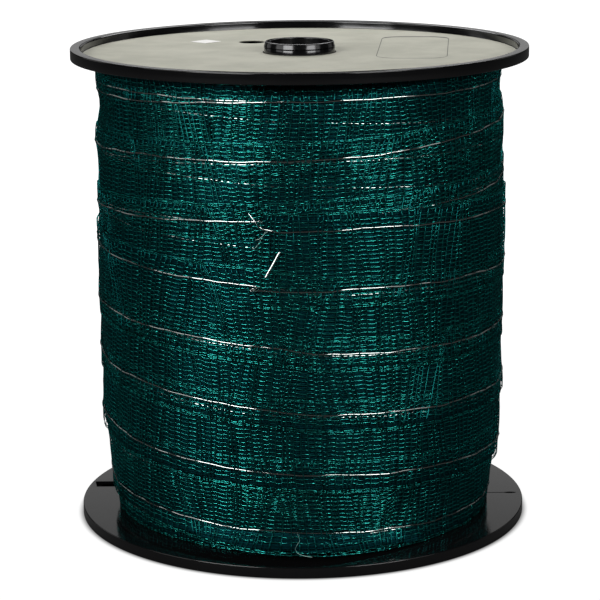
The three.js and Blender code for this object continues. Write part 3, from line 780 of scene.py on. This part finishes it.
def netting(layer, name):
    """The warps of a layer in three bands, and its wefts, as four pieces."""
    crossings = np.arange(layer.start + 1, layer.end - 0.5, WEFT_STEP)
    crossings = crossings + drift(crossings, 14, 1, WEFT_UNEVEN * WEFT_STEP)[0]
    lean = drift(crossings, 60, 1, WEFT_LEAN)[0]
    bow = drift(crossings, 37, 1, WEFT_BOW)[0]
    high = np.linspace(0, TAPE_WIDTH, WARPS)
    high[1] -= EDGE_WARPS_CLOSER
    high[-2] += EDGE_WARPS_CLOSER
    at = crossings + weft_shift(lean, bow, high[:, None])
    shape = (WARPS, len(crossings), 1)
    wound = at[..., None] + WARP_STATIONS * WEFT_STEP
    uneven = WARP_UNEVEN * rng.standard_normal((*shape[:2], 3)).clip(-2, 2)
    offset = np.array([-WARP_DIP, WARP_OUT, WARP_OUT]) + uneven
    side = np.where(np.arange(len(crossings)) % 2, 1.0, -1.0)[None, :, None]
    rows = high[:, None] + drift(crossings, 30, WARPS, WARP_WANDER) + drift(crossings, 23, 1, SHARED_WANDER)
    rows = rows[..., None] + side * ZIGZAG * np.array([0, 1, 1]) * rng.uniform(0.3, 1.3, shape)
    flat = [part.reshape(WARPS, -1) for part in (wound, rows.clip(0.1, TAPE_WIDTH - 0.1), offset)]
    lines = on_reel(layer, *flat)
    made = [threads(f"{name}_warps_{band + 1}", lines[band::3], WARP_RADIUS, 3, (0, 0, 1))
            for band in range(3)]
    near_wire = np.array([-NEAR_WIRE, 0, NEAR_WIRE])
    up = np.sort(np.concatenate([[0, 3, 12, 16, 20, 24, 28, 37, 40], WIRE_MARGIN + near_wire,
                                 TAPE_WIDTH - WIRE_MARGIN + near_wire]))
    crosses_wire = np.isin(up, (WIRE_MARGIN, TAPE_WIDTH - WIRE_MARGIN))
    way = rng.choice([WEFT_OVER_WIRE, WEFT_UNDER_WIRE], (len(crossings), len(up)))
    out = np.where(crosses_wire, way, WEFT_OUT)
    upright = on_reel(layer, crossings[:, None] + weft_shift(lean[:, None], bow[:, None], up),
                      np.broadcast_to(up, out.shape), out)
    made.append(threads(f"{name}_wefts", upright, WEFT_RADIUS, 3, None, WEFT_WIDENING))
    return made


def monofilament(name, dark, light, rough):
    """Translucent green thread, whose reflections are green too, so it is mostly coloured reflection."""
    made = Finish(name, Metallic=0.95, Specular_IOR_Level=0.1, Specular_Tint=(0.3, 0.9, 0.9, 1))
    lengthwise = made.noise(0.003, 2, stretch=(1, 1, 0.35))
    patch = made.noise(0.05, 3)
    shade = made.blend(lengthwise.ramp(0.3, 0.7), dark, light)
    made.set("Base Color", made.blend(patch.ramp(0.35, 0.7) * 0.4, shade, dark))
    made.set("Roughness", lengthwise.ramp(0.2, 0.8, rough, rough + 0.14))
    return made


warp_finish = monofilament("green_warp_thread", (0.013, 0.205, 0.203), (0.037, 0.525, 0.44), 0.15)
# The wefts take the warps' thread darkened about threefold: painted shade on the upright wefts.
shaded_weft_finish = monofilament("green_weft_thread_painted_darker", (0.003, 0.064, 0.071), (0.010, 0.16, 0.145), 0.22)
stand_ins = {"outer": "outer_tape", "under": "under_tape"}
for layer, name in ((under, "under"), (outer, "outer")):
    for made in netting(layer, name):
        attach(made, "root")
        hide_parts(stand_ins[name])
        (shaded_weft_finish if made.name.endswith("wefts") else warp_finish).on(made)

# ---- Steel wires ---------------------------------------------------------------------------------
# Two bright drawn wires run in the tape 25 mm apart, and each weft goes over or under them. Where another
# turn covers them they are pressed in. At the cut end the upper one springs up and the lower is bent back.

WIRE_RADIUS = 0.4
STUB_RADIUS = 0.5
WIRE_SIDES = 8
WIRE_OUT = 0.10
PRESSED_IN = 0.14
PRESSED_DIP = 0.55
DRAWN_BACK = 1.5
UPPER_DRAWN_BACK = 4.2
DEEP_RADIUS = 88.95
DEEP_DIP = 0.8
DEEP_HEIGHT = 138.3
DEEP_WOUND = 110
DEEP_PITCH = 26.2


def covered(layer, wound, across):
    """Whether a later turn of the layer, or the outer layer, lies over the tape there."""
    if layer is outer:
        return (wound < END_WOUND - 360) & (across > TAPE_WIDTH / 2)
    over = END_WOUND - (END_WOUND - wound) % 360
    under_outer = layer.lower_edge(wound) + across < outer.lower_edge(over) + TAPE_WIDTH
    return under_outer | ((wound < layer.end - 360) & (across < TAPE_WIDTH / 2))


def wire(layer, across, loose_end, drawn_back):
    """A wire's line: a little outside the tape's middle and wandering slightly, then on through its loose
    end. Where another turn covers it, it is pressed in, and more so at every second point."""
    wound = np.arange(layer.start + 1, layer.end - drawn_back, WEFT_STEP / 2)
    up = across + drift(wound, 40, 1, 0.28)[0]
    in_and_out = PRESSED_IN + PRESSED_DIP * (np.arange(len(wound)) % 2)
    pressed = np.where(covered(layer, wound, across), in_and_out, 0)
    line = on_reel(layer, wound, up, WIRE_OUT + drift(wound, 9, 1, 0.03)[0] - pressed)
    if len(loose_end):
        line = np.concatenate([line, np.array(loose_end) * MM])
    return line[None]


def past_end(azimuth, height, radius):
    """A point in millimetres by its azimuth in degrees, its height and its radius."""
    angle = math.radians(azimuth)
    return (radius * math.cos(angle), radius * math.sin(angle), height)


springing = [past_end(-98.8, 146.0, 92.0), past_end(-99.6, 146.4, 93.2), past_end(-100.4, 147.6, 94.0),
             past_end(-101.9, 150.2, 92.95), past_end(-103.2, 152.4, 92.0), past_end(-103.3, 152.6, 91.93)]
bent_back = [past_end(-101.0, 120.7, 91.8), past_end(-102.8, 120.4, 92.0), past_end(-103.3, 120.9, 92.0),
             past_end(-102.0, 121.5, 91.6), past_end(-100.8, 122.0, 90.4), past_end(-100.2, 123.6, 90.2)]
stub = [past_end(-98.9, 126.6, 94.0), past_end(-98.8, 126.9, 93.92), past_end(-97.15, 131.75, 92.7),
        past_end(-95.5, 136.6, 91.48), past_end(-95.4, 136.9, 91.4)]
steel = Finish("bright_drawn_steel", Metallic=1.0)
drawing = steel.noise(0.0025, 2, stretch=(1, 1, 0.3))
tarnish = steel.noise(0.02, 2)
steel.set("Base Color", steel.blend(tarnish, (0.29, 0.325, 0.315), (0.60, 0.65, 0.63)))
steel.set("Roughness", drawing.ramp(0.2, 0.8, 0.07, 0.13))
wires = []
for layer, name, across, loose_end, drawn_back in (
        (under, "under_upper", TAPE_WIDTH - WIRE_MARGIN, (), DRAWN_BACK),
        (under, "under_lower", WIRE_MARGIN, (), DRAWN_BACK),
        (outer, "outer_upper", TAPE_WIDTH - WIRE_MARGIN, springing, UPPER_DRAWN_BACK),
        (outer, "outer_lower", WIRE_MARGIN, bent_back, DRAWN_BACK)):
    line = wire(layer, across, loose_end, drawn_back)
    made = threads(f"{name}_steel_wire", line, WIRE_RADIUS, WIRE_SIDES, (0, 0, 1))
    wires.append((f"{name}_wire", made))
line = np.array([stub]) * MM
made = threads("bent_back_wire_end", line, STUB_RADIUS, WIRE_SIDES, (0.9, 0, -0.45))
wires.append(("outer_lower_wire", made))
# A wire of the turns below, which shows through the meshes as a row of dots.
deep_wound = np.arange(-60, 852, WEFT_STEP / 2)
deep_angle = np.radians(deep_wound)
deep_height = DEEP_HEIGHT + DEEP_PITCH * (deep_wound - DEEP_WOUND) / 360
deep_radius = DEEP_RADIUS + bumps(deep_wound, deep_height) - DEEP_DIP * (np.arange(len(deep_wound)) % 2)
line = np.stack([deep_radius * np.cos(deep_angle), -deep_radius * np.sin(deep_angle),
                 deep_height + drift(deep_wound, 40, 1, 0.3)[0]], axis=-1)
made = threads("wire_of_the_turns_below", line[None] * MM, WIRE_RADIUS, WIRE_SIDES, (0, 0, 1))
wires.append(("inner_winding", made))
for node, made in wires:
    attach(made, "root")
    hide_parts(node)
    steel.on(made)

# ---- Frayed threads ------------------------------------------------------------------------------
# Single filaments of the weave that have come loose: two at the cut end of the tape, and one that has
# curled out at the foot of the winding in front. They are thin and pale.

FRAY_RADIUS = 0.09
frayed = Finish("pale_loose_thread", Roughness=0.4)
frayed_shade = frayed.noise(0.004, 2)
frayed.set("Base Color", frayed.blend(frayed_shade, (0.20, 0.41, 0.375), (0.45, 0.65, 0.60)))
loose = {
    "frayed_thread_1": [(-99.0, 145.6, 91.4), (-99.6, 143.6, 92.3), (-100.3, 141.4, 92.9),
                        (-101.0, 139.6, 93.1), (-102.0, 138.0, 93.2)],
    "frayed_thread_2": [(-98.0, 145.5, 91.4), (-98.9, 144.9, 92.2), (-99.8, 143.4, 92.8),
                        (-100.4, 142.4, 93.0), (-101.4, 141.9, 93.0)],
    "curled_thread": [(-91.6, 17.4, 91.8), (-91.2, 16.0, 93.4), (-90.9, 14.7, 94.4), (-91.6, 13.0, 94.9),
                      (-92.1, 11.2, 95.0), (-91.6, 9.6, 94.9), (-90.6, 8.6, 94.8), (-89.2, 8.0, 94.9),
                      (-87.8, 7.8, 95.2)],
}
for name, places in loose.items():
    line = np.array([[past_end(*place) for place in places]]) * MM
    made = threads(name, line, FRAY_RADIUS, 6, (0, 0, 1))
    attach(made, "root")
    frayed.on(made)

# ---- Room ----------------------------------------------------------------------------------------
# Floor that the camera sees as white and reflections see as nearly dark, and a dim surround. Soft lights
# stand in front, at the sides and weakly behind, one hangs over the reel, and two weak panels beside the
# middle behind it shine in the glossy flanges.

FLOOR_REACH = 6.0
FLOOR_WHITE = 1.2
FLOOR_MIRRORED = 0.03
SURROUND = 0.012

corners = [(x * FLOOR_REACH, y * FLOOR_REACH, 0) for x, y in ((-1, -1), (1, -1), (1, 1), (-1, 1))]
floor = piece("floor", np.array(corners, float), np.array([[0, 1, 2, 3]]))
ground = Finish("pale_floor", Base_Color=(0.06, 0.06, 0.06, 1), Roughness=0.9, Specular_IOR_Level=0.1)


def light_path(finish, kind):
    """1 for rays of that kind and 0 for all others."""
    return finish.node("ShaderNodeLightPath", {}, {}, kind)


# The camera's white glow is off under the reel and rises over the 3 mm past its rim, a painted soft shadow
# round the flange's foot; further out it rises a little more, up to white.
from_axis = (ground.place("X") ** 2 + ground.place("Y") ** 2).root()
near = from_axis.ramp(0.0985, 0.1030, 0, 0.97) + from_axis.ramp(0.13, 0.5, 0, 0.23)
mirrored = light_path(ground, "Is Glossy Ray") + light_path(ground, "Is Transmission Ray")
seen = light_path(ground, "Is Camera Ray") + mirrored * FLOOR_MIRRORED
ground.shader.inputs["Emission Strength"].default_value = 1
ground.set("Emission Color", ground.blend(near * seen / FLOOR_WHITE, (0, 0, 0), (FLOOR_WHITE,) * 3))
ground.on(floor)

TARGET = Vector((0, 0, 0.11))


def soft_light(name, azimuth, elevation, distance, width, height, power):
    """A rectangular soft light that faces the reel, placed by its direction and distance from it."""
    data = bpy.data.lights.new(name, "AREA")
    data.shape = "RECTANGLE"
    data.size, data.size_y, data.energy = width, height, power
    lamp = bpy.data.objects.new(name, data)
    across, rise = math.radians(azimuth), math.radians(elevation)
    way = Vector((math.cos(rise) * math.cos(across), math.cos(rise) * math.sin(across), math.sin(rise)))
    facing = way.to_track_quat("Z", "Y").to_matrix().to_4x4()
    lamp.matrix_world = Matrix.Translation(TARGET + way * distance) @ facing
    lamp.visible_camera = False
    bpy.context.scene.collection.objects.link(lamp)


soft_light("left_front", -90 - 39, 23, 1.5, 0.80, 0.65, 17.6)
soft_light("left_side", -90 - 70, 23, 1.5, 0.6, 0.65, 2.5)
soft_light("left_behind", 150, 15, 1.5, 0.6, 0.65, 0.65)
soft_light("right_front", -90 + 39, 23, 1.5, 0.70, 0.65, 12.8)
soft_light("right_side", -90 + 62, 23, 1.5, 0.4, 0.65, 1.2)
soft_light("right_behind", 30, 15, 1.5, 0.6, 0.65, 0.35)
soft_light("overhead", 90, 50, 0.58, 0.45, 0.3, 1.85)
soft_light("panel_behind_left", 90 + 11.5, 12, 2.6, 0.73, 1.1, 1.0)
soft_light("panel_behind_right", 90 - 11.5, 12, 2.6, 0.73, 1.1, 1.0)

world = bpy.data.worlds.new("dim_surround")
bpy.context.scene.world = world
world.use_nodes = True
tree = world.node_tree
path = tree.nodes.new("ShaderNodeLightPath")
strength = tree.nodes.new("ShaderNodeMapRange")
strength.inputs["To Min"].default_value = SURROUND
strength.inputs["To Max"].default_value = 1.0
tree.links.new(path.outputs["Is Camera Ray"], strength.inputs["Value"])
tree.links.new(strength.outputs[0], tree.nodes["Background"].inputs["Strength"])
tree.nodes["Background"].inputs["Color"].default_value = (1, 1, 1, 1)
bpy.context.scene.view_settings.view_transform = "Standard"
